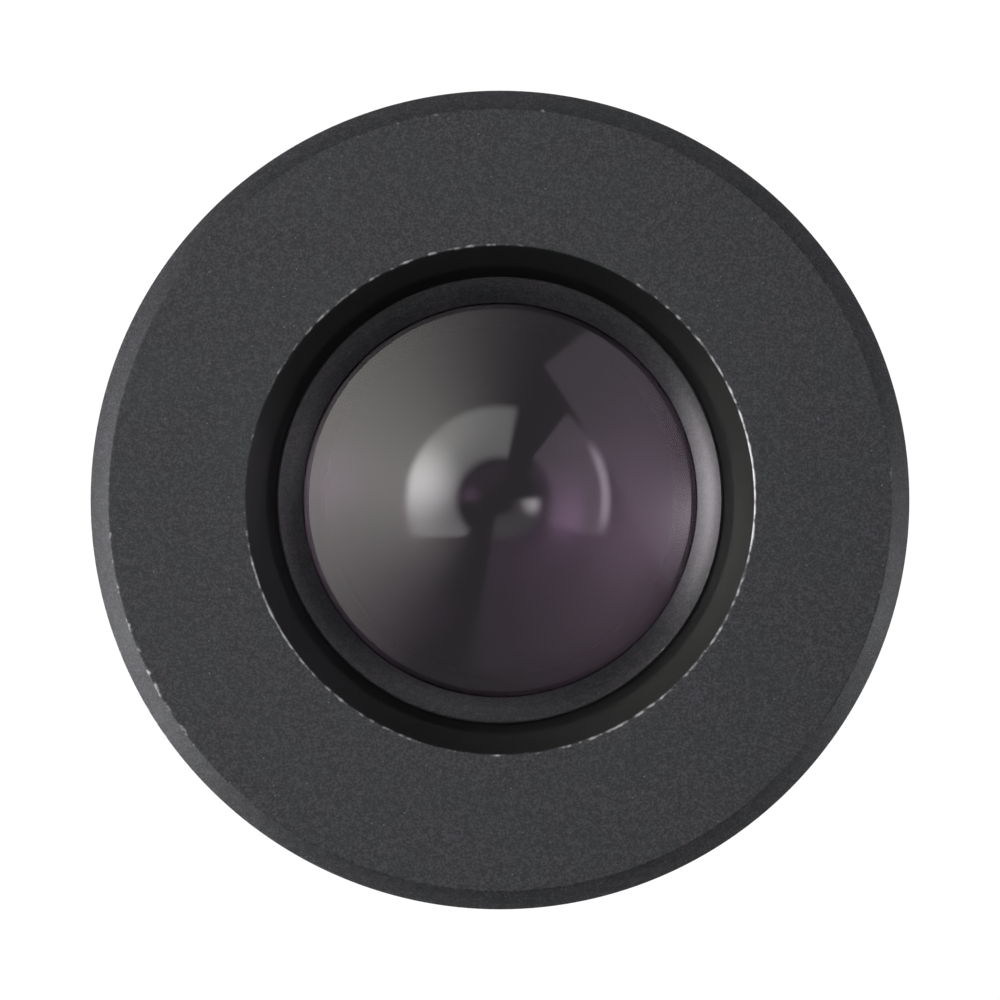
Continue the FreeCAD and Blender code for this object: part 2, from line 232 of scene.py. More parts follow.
class Shader(NodeTree):
    """A material under construction."""

    def __init__(self, name: str) -> None:
        """Start an empty material.

        Args:
            name: Its name.
        """
        self.material = bpy.data.materials.new(name)
        self.material.use_nodes = True
        super().__init__(self.material.node_tree)

    @cached_property
    def coordinates(self) -> Term:
        """The piece's own coordinates."""
        return self.node("ShaderNodeTexCoord", output="Object")

    @cached_property
    def radius_and_height(self) -> tuple[Term, Term]:
        """The distance from the optical axis, and the height."""
        across, along, height = self.split(self.coordinates)
        return (across * across + along * along).root(), height

    @cached_property
    def nicks(self) -> Term:
        """Small nicks, which edges share."""
        return self.noise(NICK, detail=4.0)

    @cached_property
    def stretches(self) -> Term:
        """Long stretches that a hand has rubbed more than others."""
        return self.noise(STRETCH, detail=1.0)

    def noise(self, size: float, where: Term | None = None, detail: float = 2.0) -> Term:
        """Add soft random blobs.

        Args:
            size: Width of a blob, in metres.
            where: Coordinates to read, or the piece's own if left out.
            detail: How many finer layers are added.

        Returns:
            A value about 0.5.
        """
        sockets = {"Vector": where or self.coordinates, "Scale": 1.0 / size, "Detail": detail}
        return self.node("ShaderNodeTexNoise", sockets=sockets)

    def specks(self, spacing: float, size: float, share: float) -> Term:
        """Scatter small round specks.

        Args:
            spacing: Mean distance between their places, in metres.
            size: Radius of a speck, in metres.
            share: Share of the places that hold one.

        Returns:
            1 on a speck and 0 beside it.
        """
        sockets = {"Vector": self.coordinates, "Scale": 1.0 / spacing}
        distance = self.node("ShaderNodeTexVoronoi", sockets=sockets, output="Distance")
        lot = Term(self, distance.socket.node.outputs["Color"])
        chosen = self.node("ShaderNodeSeparateColor", sockets={0: lot})
        radius = size / spacing
        return (1.0 - distance.step(radius * 0.5, radius)) * (1.0 - chosen.step(share, share * 1.1))

    def turning_marks(self, pitch: float) -> Term:
        """Draw the fine rings that a lathe tool leaves.

        Args:
            pitch: Width of a mark, in metres.

        Returns:
            A value about 0.5 that changes only with radius and height.
        """
        radius, height = self.radius_and_height
        place = self.node("ShaderNodeCombineXYZ", sockets={0: radius, 2: height})
        return self.noise(pitch, place, 3.0)

    def mix(self, share: Term | float, first: Term | Colour, second: Term | Colour) -> Term:
        """Blend two colours.

        Args:
            share: Share of the second colour.
            first: Colour where share is 0.
            second: Colour where share is 1.

        Returns:
            The blended colour.
        """
        colours = [value if isinstance(value, Term) else (*value, 1.0) for value in (first, second)]
        settings = {"data_type": "RGBA"}
        sockets = {"Factor": share, 6: colours[0], 7: colours[1]}
        return self.node("ShaderNodeMix", settings, sockets, output=2)

    def bump(self, height: Term) -> Term:
        """Turn a height in millimetres into a surface normal."""
        sockets = {"Height": height, "Distance": MM, "Strength": 1.0}
        return self.node("ShaderNodeBump", sockets=sockets)

    def surface(self, sockets: dict) -> Material:
        """Close the material with one surface.

        Args:
            sockets: Values or terms of the surface's sockets.

        Returns:
            The finished material.
        """
        return self.output(self.node("ShaderNodeBsdfPrincipled", sockets=sockets))

    def output(self, surface: Term) -> Material:
        """Give the material its surface, and return it."""
        self.close("ShaderNodeOutputMaterial", surface)
        return self.material


@dataclass(frozen=True)
class WornEdge:
    """A turned edge painted bright in ragged stretches that fade to stray nicks: wear from handling, which
    on the cap's mouth and on the cell's bevel line is also a painted highlight.
    """

    radius: float
    height: float
    width: float
    share: float
    stretch_weight: float = 0.9
    rarest: float = 1.25
    share_weight: float = 0.48
    fade: float = 0.30

    def mask(self, shader: Shader) -> Term:
        """Find where the edge is painted bright.

        Args:
            shader: The material under construction.

        Returns:
            1 where it is rubbed, and 0 beside it.
        """
        radius, height = shader.radius_and_height
        off = radius - self.radius
        over = height - self.height
        distance = (off * off + over * over).root() / (shader.nicks * (2.0 * self.width))
        line = 1.0 - distance.step(0.3, 1.0)
        rubbed = shader.nicks + shader.stretches * self.stretch_weight
        start = self.rarest - self.share_weight * self.share
        return line * rubbed.step(start, start + self.fade)


@dataclass(frozen=True)
class AnodisedFinish:
    """Black anodised aluminium, either bead blasted or left as turned."""

    name: str
    dark: Colour = (0.0048, 0.0053, 0.0062)
    cool: Colour = (0.0295, 0.0345, 0.0360)
    warm: Colour = (0.0340, 0.0315, 0.0385)
    roughness: float = 0.50
    grain: float = 0.09 * MM
    grain_depth: float = 0.012 * MM
    mottle: float = 0.30 * MM
    patch: float = 3.0 * MM
    tinge: float = 0.6 * MM
    tone_range: tuple[float, float] = (0.44, 0.76)
    tinge_range: tuple[float, float] = (1.35, 1.65)
    marks: float = 0.05 * MM
    marks_depth: float = 0.0
    speck_share: float = 0.0
    speck_size: float = 0.035 * MM
    speck_spacing: float = 0.45 * MM
    bare: Colour = (0.36, 0.36, 0.37)
    edges: tuple[WornEdge, ...] = ()
    shine: float = 0.375
    gleam: Colour = (0.95, 0.975, 1.0)
    bore: float = 0.0
    bore_black_and_shade: Colour = (0.0015, 0.0016, 0.0019)
    bore_roughness: float = 0.29
    bore_blend: float = 0.05 * MM

    def material(self) -> Material:
        """Build the finish, which within its bore turns a plainer, darker black: painted shade in the cap's
        eye well, and the matt black inside the barrel.

        Returns:
            The material.
        """
        shader = Shader(self.name)
        grain = shader.noise(self.grain, detail=2.0)
        mottle = shader.noise(self.mottle, detail=2.0)
        patches = shader.noise(self.patch, detail=1.0)
        tone = (grain * 0.72 + mottle * 0.30 + patches * 0.08).step(*self.tone_range)
        tinge = (patches * 2.0 + shader.noise(self.tinge, detail=1.0)).step(*self.tinge_range)
        height = grain * self.grain_depth
        if self.marks_depth > 0.0:
            height = height + shader.turning_marks(self.marks) * self.marks_depth
        bare = shader.specks(self.speck_spacing, self.speck_size, self.speck_share) * 0.35
        colour = shader.mix(tone, self.dark, shader.mix(tinge, self.cool, self.warm))
        roughness = self.roughness + (patches - 0.5) * 0.16
        # Within the bore the colour drops to a darker black: painted shade in the cap's eye well, the matt
        # black inside the barrel
        if self.bore > 0.0:
            inside = 1.0 - shader.radius_and_height[0].step(self.bore - self.bore_blend, self.bore)
            outside = 1.0 - inside
            bare = bare * outside
            height = height * outside
            roughness = roughness * outside + inside * self.bore_roughness
            colour = shader.mix(inside, colour, self.bore_black_and_shade)
        for edge in self.edges:
            bare = bare.most(edge.mask(shader))
        return shader.surface({
            "Base Color": shader.mix(bare, colour, self.bare),
            "Roughness": roughness - bare * 0.12,
            "Metallic": bare * 0.7,
            "Specular IOR Level": self.shine,
            "Specular Tint": (*self.gleam, 1.0),
            "Normal": shader.bump(height / MM),
        })


class Coat(Enum):
    """What covers a face of a lens, by the tint of what it reflects."""

    CLEAR = (1.0, 1.0, 1.0)
    PURPLE = (0.128, 0.062, 0.136)
    FAINT = (0.050, 0.034, 0.053)
    CEMENT = (0.0, 0.0, 0.0)


@dataclass(frozen=True)
class GlassFinish:
    """Polished optical glass under a thin coating."""

    index: float
    coat: Coat
    smear: float = 2.2 * MM

    def material(self) -> Material:
        """Build the finish, with a trace of haze where a cloth has passed.

        Returns:
            The material.
        """
        shader = Shader(f"glass_{self.index:.3f}_{self.coat.name.lower()}")
        haze = shader.noise(self.smear, detail=2.0).step(0.45, 0.85)
        return shader.surface({
            "Base Color": (0.995, 0.995, 0.99, 1.0),
            "Roughness": haze * 0.03,
            "IOR": self.index,
            "Transmission Weight": 1.0,
            "Specular Tint": (*self.coat.value, 1.0),
        })


@dataclass(frozen=True)
class CementFinish:
    """The cemented face between two lenses, which light passes unturned."""

    name: str = "lens_cement"
    cloud: float = 1.5 * MM

    def material(self) -> Material:
        """Build the finish, with the faintest uneven tint.

        Returns:
            The material.
        """
        shader = Shader(self.name)
        tint = shader.mix(shader.noise(self.cloud), (0.995, 0.995, 0.99), (1.0, 1.0, 0.998))
        return shader.output(shader.node("ShaderNodeBsdfTransparent", sockets={"Color": tint}))


@dataclass(frozen=True)
class PlainFinish:
    """A small turned or cut part in one material, with fine marks and an uneven tone."""

    name: str
    dark: Colour
    light: Colour
    roughness: float
    metallic: float = 0.0
    marks: float = 0.05 * MM
    marks_depth: float = 0.003 * MM
    shine: float = 0.5
    patch: float = 0.8 * MM

    def material(self) -> Material:
        """Build the finish.

        Returns:
            The material.
        """
        shader = Shader(self.name)
        marks = shader.turning_marks(self.marks)
        patches = shader.noise(self.patch, detail=4.0)
        tone = (marks * 0.4 + patches * 0.6).step(0.3, 0.7)
        sockets = {
            "Base Color": shader.mix(tone, self.dark, self.light),
            "Roughness": self.roughness + (patches - 0.5) * 0.2,
            "Metallic": self.metallic,
            "Specular IOR Level": self.shine,
        }
        if self.marks_depth > 0.0:
            sockets["Normal"] = shader.bump(marks * (self.marks_depth / MM))
        return shader.surface(sockets)


def corners_of(geometry: list) -> list[Corner]:
    """Pick the corners out of what an operator made."""
    return [item for item in geometry if isinstance(item, Corner)]


class Outline:
    """Half the section of a turned piece, drawn as a wire in the plane of +X and +Z.

    A corner is its distance from the optical axis, its height and, where it is rounded, how far
    back along both edges the rounding starts.
    """

    def __init__(self, *corners: tuple[float, ...]) -> None:
        """Draw straight edges through corners.

        Args:
            corners: The corners, in order.
        """
        self.mesh = bmesh.new()
        self.rounded: list[tuple[Corner, float]] = []
        self.first = self.corner(*corners[0])
        self.last = self.first
        self.through(*corners[1:])

    def corner(self, across: float, up: float, rounding: float = 0.0) -> Corner:
        """Add a corner.

        Args:
            across: Distance from the optical axis.
            up: Height.
            rounding: How far back its rounding starts.

        Returns:
            The corner.
        """
        corner = self.mesh.verts.new((across, 0.0, up))
        if rounding > 0.0:
            self.rounded.append((corner, rounding))
        return corner

    def through(self, *corners: tuple[float, ...]) -> None:
        """Draw straight edges on through more corners.

        Args:
            corners: The corners, in order.
        """
        for spot in corners:
            corner = self.corner(*spot)
            self.mesh.edges.new((self.last, corner))
            self.last = corner

    def arc(self, centre: float, across: float) -> None:
        """Draw an arc about a point on the optical axis.

        Args:
            centre: Height of that point.
            across: Distance of the arc's end from the axis.
        """
        start = self.last.co - Vector((0.0, 0.0, centre))
        side = math.copysign(math.sqrt(start.length_squared - across * across), start.z)
        angle = math.atan2(across, side) - math.atan2(start.x, start.z)
        made = bmesh.ops.spin(self.mesh, geom=[self.last], cent=(0.0, 0.0, centre), axis=(0.0, 1.0, 0.0),
                              dvec=ORIGIN, angle=angle, steps=FACE_STEPS, use_duplicate=False)
        self.last = corners_of(made["geom_last"])[0]

    def closed(self) -> "Outline":
        """Join the last corner to the first."""
        self.mesh.edges.new((self.last, self.first))
        return self

    def spun(self, steps: int = TURN_STEPS) -> Mesh:
        """Round the corners and spin the wire once about the optical axis.

        Args:
            steps: Facets round the full turn.

        Returns:
            A closed mesh whose faces point outwards.
        """
        for corner, rounding in self.rounded:
            bmesh.ops.bevel(self.mesh, geom=[corner], offset=rounding, offset_type="OFFSET",
                            segments=ROUND_STEPS, profile=0.5, affect="VERTICES", material=-1)
        bmesh.ops.spin(self.mesh, geom=self.mesh.verts[:] + self.mesh.edges[:], cent=ORIGIN, axis=AXIS,
                       dvec=ORIGIN, angle=math.tau, steps=steps, use_merge=True, use_duplicate=False)
        bmesh.ops.remove_doubles(self.mesh, verts=self.mesh.verts, dist=MERGE_DISTANCE)
        bmesh.ops.recalc_face_normals(self.mesh, faces=self.mesh.faces)
        return self.mesh


def finished(mesh: Mesh, name: str, flat_faces: bool = True) -> Piece:
    """Make an object of a mesh, smooth shaded up to its sharp edges.

    Args:
        mesh: The shape, in its place.
        name: Name of the piece.
        flat_faces: Whether large flat faces rule the shading of the roundings beside them.

    Returns:
        The new object.
    """
    data = bpy.data.meshes.new(name)
    mesh.to_mesh(data)
    mesh.free()
    data.shade_smooth()
    data.set_sharp_from_angle(angle=SHARP_ANGLE)
    piece = bpy.data.objects.new(name, data)
    bpy.context.scene.collection.objects.link(piece)
    if flat_faces:
        shading = piece.modifiers.new("Flat faces stay flat", "WEIGHTED_NORMAL")
        shading.mode = "FACE_AREA"
        shading.weight = 50
        shading.keep_sharp = True
    return piece


def place(piece: Piece, node: str, *materials: Material) -> None:
    """Let a piece stand for a solid, and dress it.

    Args:
        piece: The new piece.
        node: The solid that it replaces.
        materials: What fills its material slots.
    """
    for material in materials:
        piece.data.materials.append(material)
    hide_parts(node)
    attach(piece, BODY)
    log.info("%s stands for %s, %d faces", piece.name, node, len(piece.data.polygons))


def dress_solid(node: str, material: Material) -> None:
    """Give a solid of the frame a finish, in every one of its material slots.

    Args:
        node: Name of the solid.
        material: The finish.
    """
    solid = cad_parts[node]
    for slot in solid.material_slots:
        slot.material = material
    log.info("%s keeps its solid, in %s", node, material.name)


@dataclass
class EyeCap:
    """Cap with the flat face, its chamfer, the conical eye well and the lip over the cell."""

    bore: float = 15.03 * MM
    chamfer: float = 0.78 * MM
    seam: float = 0.20 * MM
    mouth: float = 10.55 * MM
    hole: float = 9.325 * MM
    edge_rounding: float = 0.05 * MM
    inner_rounding: float = 0.02 * MM

    def build(self) -> Piece:
        """Turn the cap from its seat to its face.

        Returns:
            The cap.
        """
        reach = extent("eye_cap")
        rim, seat, face = reach.radius, reach.bottom, reach.top
        lip_top = extent("lens_cell").top
        lip_underside = extent("cap_seal").top
        soft, small = self.edge_rounding, self.inner_rounding
        outline = Outline(
            (self.bore, seat, small),
            (rim - self.seam, seat, small),
            (rim, seat + self.seam, soft),
            (rim, face - self.chamfer, soft),
            (rim - self.chamfer, face, soft),
            (self.mouth, face, soft),
            (self.hole, lip_top, small),
            (self.hole, lip_underside),
            (self.bore, lip_underside),
        )
        return finished(outline.closed().spun(), "eye_cap_shell")

    def dress(self, piece: Piece) -> None:
        """Give it a bead-blasted black, rubbed bright along its edges, with a painted highlight along the
        mouth's edge and painted shade in the eye well.

        Args:
            piece: The cap.
        """
        reach = extent("eye_cap")
        rim, face = reach.radius, reach.top
        finish = AnodisedFinish(
            "cap_blasted_black",
            speck_share=0.30,
            edges=(
                WornEdge(rim - self.chamfer, face, 0.09 * MM, 0.30),
                WornEdge(rim, face - self.chamfer, 0.06 * MM, 0.25),
                # The mouth's edge is rubbed bright most often: this bright line is wear and a painted
                # highlight of that edge in one
                WornEdge(self.mouth, face, 0.09 * MM, 0.80),
            ),
            # Inside the mouth the eye well is painted a darker black: painted shade
            bore=self.mouth,
        )
        place(piece, "eye_cap", finish.material())


@dataclass
class HeadBody:
    """Tapered body under the cap, with three screw holes round its foot."""

    neck_bore: float = 12.78 * MM
    foot: float = 14.77 * MM
    foot_chamfer: float = 0.40 * MM
    taper_top: float = 12.0 * MM
    seam: float = 0.20 * MM
    spigot: float = 15.0 * MM
    flange_bore: float = 13.53 * MM
    bore: float = 12.18 * MM
    thread_length: float = 4.5 * MM
    hole_radius: float = 1.0 * MM
    hole_height: float = 2.3 * MM
    hole_count: int = 3
    hole_clearance: float = 1.3
    drill_length: float = 6.0 * MM
    drill_sides: int = 40
    edge_rounding: float = 0.05 * MM

    def build(self) -> Piece:
        """Turn the body and drill its screw holes.

        Returns:
            The body.
        """
        reach = extent("head_body")
        rim = reach.radius
        seat = extent("eye_cap").bottom
        ledge = extent("parfocal_shim").bottom
        soft = self.edge_rounding
        slope = (rim - self.foot) / (self.taper_top - self.foot_chamfer)
        clear = self.hole_clearance * self.hole_radius
        heights = (self.hole_height - clear, self.hole_height + clear)
        outline = Outline(
            (self.neck_bore, reach.bottom),
            (self.foot - self.foot_chamfer, reach.bottom, soft),
            (self.foot, self.foot_chamfer, soft),
            *((self.foot + slope * (height - self.foot_chamfer), height) for height in heights),
            (rim, self.taper_top, 2.0 * soft),
            (rim, seat - self.seam, soft),
            (rim - self.seam, seat, soft),
            (self.spigot, seat),
            (self.spigot, reach.top, soft),
            (self.flange_bore, reach.top, soft),
            (self.flange_bore, ledge),
            (self.bore, ledge, soft),
            (self.bore, self.thread_length),
            (self.neck_bore, self.thread_length),
        )
        piece = finished(outline.closed().spun(), "head_body_shell")
        return self.drilled(piece)

    def drilled(self, piece: Piece) -> Piece:
        """Cut the screw holes.

        Args:
            piece: The turned body.

        Returns:
            The same object, with its holes in the mesh.
        """
        drills = bmesh.new()
        for number in range(self.hole_count):
            turn = Matrix.Rotation(math.tau * number / self.hole_count, 4, "Z")
            lay = Matrix.Rotation(math.radians(90.0), 4, "Y")
            move = Matrix.Translation((self.foot, 0.0, self.hole_height))
            bmesh.ops.create_cone(drills, cap_ends=True, segments=self.drill_sides,
                                  radius1=self.hole_radius, radius2=self.hole_radius,
                                  depth=self.drill_length, matrix=turn @ move @ lay)
        tool = finished(drills, "drill", flat_faces=False)
        cut = piece.modifiers.new("Screw holes", "BOOLEAN")
        cut.operation = "DIFFERENCE"
        cut.solver = "EXACT"
        cut.object = tool
        piece.modifiers.move(len(piece.modifiers) - 1, 0)
        piece.modifiers["Flat faces stay flat"].show_viewport = False
        bpy.context.view_layer.update()
        seen = piece.evaluated_get(bpy.context.evaluated_depsgraph_get())
        whole = piece.data
        piece.data = bpy.data.meshes.new_from_object(seen)
        piece.modifiers.remove(cut)
        piece.modifiers["Flat faces stay flat"].show_viewport = True
        bpy.data.meshes.remove(whole)
        bpy.data.objects.remove(tool)
        piece.data.name = piece.name
        piece.data.shade_smooth()
        piece.data.set_sharp_from_angle(angle=SHARP_ANGLE)
        return piece

    def dress(self, piece: Piece) -> None:
        """Give it the cap's black, lightly rubbed on its rim.

        Args:
            piece: The body.
        """
        rim = extent("head_body").radius
        seat = extent("eye_cap").bottom
        finish = AnodisedFinish(
            "head_blasted_black",
            speck_share=0.12,
            edges=(
                WornEdge(rim, self.taper_top, 0.10 * MM, 0.35),
                WornEdge(rim, seat - self.seam, 0.06 * MM, 0.40),
                WornEdge(self.foot, self.foot_chamfer, 0.07 * MM, 0.45),
            ),
        )
        place(piece, "head_body", finish.material())


@dataclass
class LensCell:
    """Cell that holds the lenses: bevelled nose, flange, and a stepped bore open from below."""

    ring_bore: float = 10.78 * MM
    tail: float = 11.5 * MM
    side: float = 12.15 * MM
    chamfer: float = 0.30 * MM
    tail_top: float = 5.86 * MM
    nose: float = 9.25 * MM
    bevel_break: float = 8.80 * MM
    aperture: float = 8.25 * MM
    outer_drop: float = 0.33 * MM
    inner_drop: float = 0.46 * MM
    land: float = 0.12 * MM
    eye_bore: float = 9.03 * MM
    glass_edge: float = 19.974 * MM
    bore_step: float = 14.408 * MM
    field_bore: float = 10.53 * MM
    ring_recess: float = 4.45 * MM
    flange: float = 2.0 * MM
    edge_rounding: float = 0.03 * MM

    def build(self) -> Piece:
        """Turn the cell from its tail to its nose, with its bore, glass seat and aperture land in a slot of
        its own, whose darker black on the land and seat is painted shade beside the lens.

        Returns:
            The cell.
        """
        reach = extent("lens_cell")
        shim, seal = extent("parfocal_shim"), extent("cap_seal")
        flange_bottom, flange_top = shim.top, shim.top + self.flange
        shoulder = seal.bottom
        seat_edge = reach.top - self.outer_drop - self.inner_drop - self.land
        soft = self.edge_rounding
        outline = Outline(
            (self.ring_bore, reach.bottom),
            (self.tail - self.chamfer, reach.bottom),
            (self.tail, reach.bottom + self.chamfer),
            (self.tail, self.tail_top),
            (self.side, self.tail_top),
            (self.side, flange_bottom),
            (reach.radius, flange_bottom),
            (reach.radius, flange_top),
            (self.side, flange_top),
            (self.side, shoulder - self.chamfer),
            (self.side - self.chamfer, shoulder),
            (self.nose, shoulder),
            (self.nose, reach.top, soft),
            (self.bevel_break, reach.top - self.outer_drop, soft),
            (self.aperture, seat_edge + self.land, soft),
            (self.aperture, seat_edge),
            (self.eye_bore, self.glass_edge),
            (self.eye_bore, self.bore_step),
            (self.field_bore, self.bore_step),
            (self.field_bore, self.ring_recess),
            (self.ring_bore, self.ring_recess),
        )
        mesh = outline.closed().spun()
        # Slot 1 holds the bore, the glass seat and the aperture land: matt black inside, and painted shade
        # on the land and seat beside the lens's edge
        for face in mesh.faces:
            middle = face.calc_center_median()
            if middle.z < seat_edge + self.land and middle.xy.length < self.ring_bore:
                face.material_index = 1
        return finished(mesh, "lens_cell_shell")

    def dress(self, piece: Piece) -> None:
        """Give it a satin turned black, with a thin bright line where the two bevels meet, which is wear
        and a painted highlight in one, and a darker black in its bore and on its aperture land, which there
        is painted shade beside the lens.

        Args:
            piece: The cell.
        """
        top = extent("lens_cell").top
        finish = AnodisedFinish(
            "cell_turned_black",
            shine=0.66,
            gleam=(1.0, 0.96, 1.0),
            roughness=0.36,
            grain_depth=0.003 * MM,
            marks_depth=0.004 * MM,
            speck_share=0.10,
            edges=(
                # The bevel line's bright stretches are wear and a painted highlight of that edge in one
                WornEdge(self.bevel_break, top - self.outer_drop, 0.030 * MM, 0.15),
                WornEdge(self.nose, top, 0.05 * MM, 0.30),
            ),
        )
        # The bore's matt black, which on the aperture land and seat is painted shade
        black = PlainFinish("cell_bore_black_and_land_shade", (0.0015, 0.0015, 0.0016), (0.0030, 0.0030, 0.0032), 0.75,
                            **DULL)
        place(piece, "lens_cell", finish.material(), black.material())


@dataclass(frozen=True)
class Lens:
    """One lens. A face's radius is positive where the face bulges upwards."""

    node: str
    upper: float
    lower: float
    thickness: float
    index: float
    upper_coat: Coat
    lower_coat: Coat
    flat_rim: float = 0.0
    rounding: float = 0.04 * MM

    def build(self) -> Piece:
        """Spin the lens from the middle of its lower face to the middle of its upper face.

        Returns:
            The lens, with its upper face in slot 0, its lower face in 1 and its edge in 2.
        """
        reach = extent(self.node)
        clear = reach.radius - self.flat_rim
        if self.lower > 0.0:
            hollow = self.lower - math.sqrt(self.lower ** 2 - clear ** 2)
            lower_middle = reach.bottom + hollow
        else:
            lower_middle = reach.bottom
        upper_middle = lower_middle + self.thickness
        outline = Outline((0.0, lower_middle))
        outline.arc(lower_middle - self.lower, clear)
        if self.flat_rim > 0.0:
            outline.through((reach.radius, reach.bottom, self.rounding))
        centre = upper_middle - self.upper
        reached = math.copysign(math.sqrt(self.upper ** 2 - reach.radius ** 2), self.upper)
        outline.through((reach.radius, centre + reached))
        outline.arc(centre, 0.0)
        mesh = outline.spun(LENS_STEPS)
        for face in mesh.faces:
            slope = face.normal.z
            face.material_index = 2 if abs(slope) < EDGE_SLOPE else int(slope < 0.0)
        return finished(mesh, f"{self.node}_glass", flat_faces=False)


@dataclass
class LensStack:
    """Cemented eye doublet, middle lens and cemented field doublet."""

    crown: float = 1.5168
    flint: float = 1.6477

    def lenses(self) -> tuple[Lens, ...]:
        """List the lenses, from the eye down."""
        return (
            Lens("eye_lens_crown", 28.0 * MM, -26.0 * MM, 4.5 * MM, self.crown, Coat.CLEAR, Coat.CEMENT),
            Lens("eye_lens_flint", -26.0 * MM, -45.0 * MM, 1.2 * MM, self.flint, Coat.CEMENT, Coat.FAINT),
            Lens("middle_lens", 40.0 * MM, -120.0 * MM, 3.3 * MM, self.crown, Coat.FAINT, Coat.PURPLE),
            Lens("field_lens_crown", 50.0 * MM, -30.0 * MM, 4.4 * MM, self.crown, Coat.FAINT, Coat.CEMENT),
            Lens("field_lens_flint", -30.0 * MM, 50.0 * MM, 1.2 * MM, self.flint, Coat.CEMENT, Coat.FAINT,
                 flat_rim=0.6 * MM),
        )

    def build(self) -> None:
        """Spin and dress the lenses."""
        edge = PlainFinish("edge_black", (0.003, 0.003, 0.003), (0.006, 0.006, 0.006), 0.7, **DULL)
        black = edge.material()
        finishes = {(None, Coat.CEMENT): CementFinish().material()}
        for lens in self.lenses():
            for coat in (lens.upper_coat, lens.lower_coat):
                if coat is not Coat.CEMENT and (lens.index, coat) not in finishes:
                    finishes[lens.index, coat] = GlassFinish(lens.index, coat).material()
            faces = [finishes[None if coat is Coat.CEMENT else lens.index, coat]
                     for coat in (lens.upper_coat, lens.lower_coat)]
            place(lens.build(), lens.node, *faces, black)


@dataclass
class MountingBarrel:
    """Tube that slides into the eyetube, with anti-glare grooves below the field stop."""

    lead_in: float = 0.40 * MM
    mouth_chamfer: float = 0.20 * MM
    side: float = 11.58 * MM
    neck_socket: float = 11.59 * MM
    socket_floor: float = 1.36 * MM
    bore: float = 10.2 * MM
    stop_bore: float = 10.6 * MM
    groove_pitch: float = 0.6 * MM
    groove_depth: float = 0.10 * MM
    groove_run: float = 0.3
    black_margin: float = 0.1 * MM
    edge_rounding: float = 0.04 * MM

    def build(self) -> Piece:
        """Turn the tube, with a row of shallow grooves down its bore.

        Returns:
            The tube.
        """
        reach = extent("mounting_barrel")
        stop_top = extent("field_stop").top
        ring_bottom = extent("stop_lock_ring").bottom
        soft = self.edge_rounding
        first = ring_bottom - self.groove_pitch
        last = reach.bottom + self.mouth_chamfer + self.groove_pitch
        count = int((first - last) / self.groove_pitch)
        grooves = []
        for number in range(count):
            height = first - number * self.groove_pitch
            deepest = height - self.groove_run * self.groove_pitch
            grooves += [(self.stop_bore, height), (self.stop_bore + self.groove_depth, deepest)]
        outline = Outline(
            (self.stop_bore + self.mouth_chamfer, reach.bottom),
            (self.side - self.lead_in, reach.bottom, soft),
            (self.side, reach.bottom + self.lead_in, soft),
            (self.side, 0.0),
            (reach.radius, 0.0),
            (reach.radius, reach.top - self.mouth_chamfer),
            (reach.radius - self.mouth_chamfer, reach.top),
            (self.neck_socket, reach.top),
            (self.neck_socket, self.socket_floor),
            (self.bore, self.socket_floor),
            (self.bore, stop_top),
            (self.stop_bore, stop_top),
            *grooves,
            (self.stop_bore, last),
            (self.stop_bore, reach.bottom + self.mouth_chamfer, soft),
        )
        return finished(outline.closed().spun(), "mounting_barrel_tube")

    def dress(self, piece: Piece) -> None:
        """Give it a satin turned black, rubbed along its lead-in by the eyetube.

        Args:
            piece: The tube.
        """
        bottom = extent("mounting_barrel").bottom
        finish = AnodisedFinish(
            "barrel_turned_black",
            roughness=0.36,
            grain_depth=0.003 * MM,
            marks_depth=0.007 * MM,
            marks=0.07 * MM,
            speck_share=0.08,
            edges=(
                WornEdge(self.side, bottom + self.lead_in, 0.09 * MM, 0.62),
                WornEdge(self.side - self.lead_in, bottom, 0.06 * MM, 0.5),
            ),
            bore=self.stop_bore + self.groove_depth + self.black_margin,
            bore_roughness=0.75,
        )
        place(piece, "mounting_barrel", finish.material())


